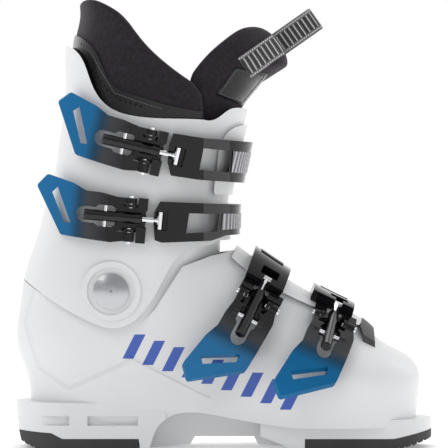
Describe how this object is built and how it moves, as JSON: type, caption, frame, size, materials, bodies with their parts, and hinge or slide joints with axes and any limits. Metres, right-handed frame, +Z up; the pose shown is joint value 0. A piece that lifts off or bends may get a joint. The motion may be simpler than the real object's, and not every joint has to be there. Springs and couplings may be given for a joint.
{
  "type": "alpine ski boot",
  "caption": "Right alpine ski boot: white overlap shell and cuff on an ankle pivot, blue lever buckles with black racks, fleece inner boot, tongue with pull loop.",
  "frame": {"origin": "middle of the boot sole, on the ground", "axes": "+X to the toe, +Y to the inner (medial) side, +Z up; the buckles are on the -Y side"},
  "size_m": [0.275, 0.1242, 0.2947],
  "materials": {
    "shell_white": "satin moulded polyurethane",
    "sole_dark": "matt, finely grained",
    "board_grey": "matt",
    "insole_felt": "felt",
    "liner_fleece": "short soft pile",
    "trim_leather": "glossy, fine grain",
    "loop_webbing": "woven with pale threads",
    "seal_rubber": "matt",
    "disc_brushed": "brushed in rings",
    "plate_silver": "satin, ridged",
    "frame_black": "gloss",
    "barrel_black": "gloss",
    "chrome_steel": "polished",
    "lever_blue": "anodised, blue running into black",
    "rivet_steel": "plain"
  },
  "bodies": {
    "shell": {"boot_board": "board_grey", "buckle_base_3": "frame_black", "buckle_base_4": "frame_black", "buckle_rivets_3": "rivet_steel", "buckle_rivets_4": "rivet_steel", "heel_sole_pad": "sole_dark", "heel_sole_screws": "rivet_steel", "insole": "insole_felt", "lever_pins_3": "chrome_steel", "lever_pins_4": "chrome_steel", "liner_foot": "liner_fleece", "lower_shell": "shell_white", "pivot_cap_lateral": "disc_brushed", "pivot_cap_medial": "disc_brushed", "pivot_rivet_lateral": "rivet_steel", "pivot_rivet_medial": "rivet_steel", "rack_3": "frame_black", "rack_4": "frame_black", "rack_plate_3": "plate_silver", "rack_plate_4": "plate_silver", "toe_seal": "seal_rubber", "toe_sole_pad": "sole_dark", "toe_sole_screws": "rivet_steel"},
    "cuff": {"buckle_base_1": "frame_black", "buckle_base_2": "frame_black", "buckle_rivets_1": "rivet_steel", "buckle_rivets_2": "rivet_steel", "cuff": "shell_white", "lever_pins_1": "chrome_steel", "lever_pins_2": "chrome_steel", "liner_cuff": "liner_fleece", "liner_tongue": "liner_fleece", "liner_trim": "trim_leather", "pull_loop": "loop_webbing", "rack_1": "frame_black", "rack_2": "frame_black", "rack_plate_1": "plate_silver", "rack_plate_2": "plate_silver"},
    "lever_1": {"lever_1": "lever_blue", "bail_pin_1": "chrome_steel"},
    "hook_1": {"barrel_1": "barrel_black", "hook_1": "chrome_steel"},
    "lever_2": {"lever_2": "lever_blue", "bail_pin_2": "chrome_steel"},
    "hook_2": {"barrel_2": "barrel_black", "hook_2": "chrome_steel"},
    "lever_3": {"lever_3": "lever_blue", "bail_pin_3": "chrome_steel"},
    "hook_3": {"barrel_3": "barrel_black", "hook_3": "chrome_steel"},
    "lever_4": {"lever_4": "lever_blue", "bail_pin_4": "chrome_steel"},
    "hook_4": {"barrel_4": "barrel_black", "hook_4": "chrome_steel"}
  },
  "joints": [
    {"name": "cuff_flex", "type": "hinge", "parent": "shell", "child": "cuff", "pos_m": [-0.0731, 0, 0.1044], "axis": [0, 1, 0], "range_deg": [0, 4]},
    {"name": "lever_1_open", "type": "hinge", "parent": "cuff", "child": "lever_1", "pos_m": [-0.04923, -0.05967, 0.1965], "axis": [0.2382, -0.0678, 0.9688], "range_deg": [0, 110]},
    {"name": "hook_1_turn", "type": "hinge", "parent": "lever_1", "child": "hook_1", "pos_m": [-0.06467, -0.06176, 0.20015], "axis": [0.2382, -0.0678, 0.9688], "range_deg": [-110, 0]},
    {"name": "lever_2_open", "type": "hinge", "parent": "cuff", "child": "lever_2", "pos_m": [-0.06075, -0.05675, 0.15192], "axis": [0.0914, -0.0287, 0.9954], "range_deg": [0, 110]},
    {"name": "hook_2_turn", "type": "hinge", "parent": "lever_2", "child": "hook_2", "pos_m": [-0.07665, -0.05784, 0.15335], "axis": [0.0914, -0.0287, 0.9954], "range_deg": [-110, 0]},
    {"name": "lever_3_open", "type": "hinge", "parent": "shell", "child": "lever_3", "pos_m": [0.02111, -0.0444, 0.09805], "axis": [-0.8736, -0.0494, 0.4841], "range_deg": [0, 110]},
    {"name": "hook_3_turn", "type": "hinge", "parent": "lever_3", "child": "hook_3", "pos_m": [0.01536, -0.05409, 0.0867], "axis": [-0.8736, -0.0494, 0.4841], "range_deg": [-110, 0]},
    {"name": "lever_4_open", "type": "hinge", "parent": "shell", "child": "lever_4", "pos_m": [0.07091, -0.03238, 0.08441], "axis": [-0.9092, -0.085, 0.4077], "range_deg": [0, 110]},
    {"name": "hook_4_turn", "type": "hinge", "parent": "lever_4", "child": "hook_4", "pos_m": [0.06838, -0.04573, 0.07598], "axis": [-0.9092, -0.085, 0.4077], "range_deg": [-110, 0]}
  ],
  "couplings": [
    {"joint": "hook_1_turn", "follows": "lever_1_open", "ratio": -1},
    {"joint": "hook_2_turn", "follows": "lever_2_open", "ratio": -1},
    {"joint": "hook_3_turn", "follows": "lever_3_open", "ratio": -1},
    {"joint": "hook_4_turn", "follows": "lever_4_open", "ratio": -1}
  ]
}
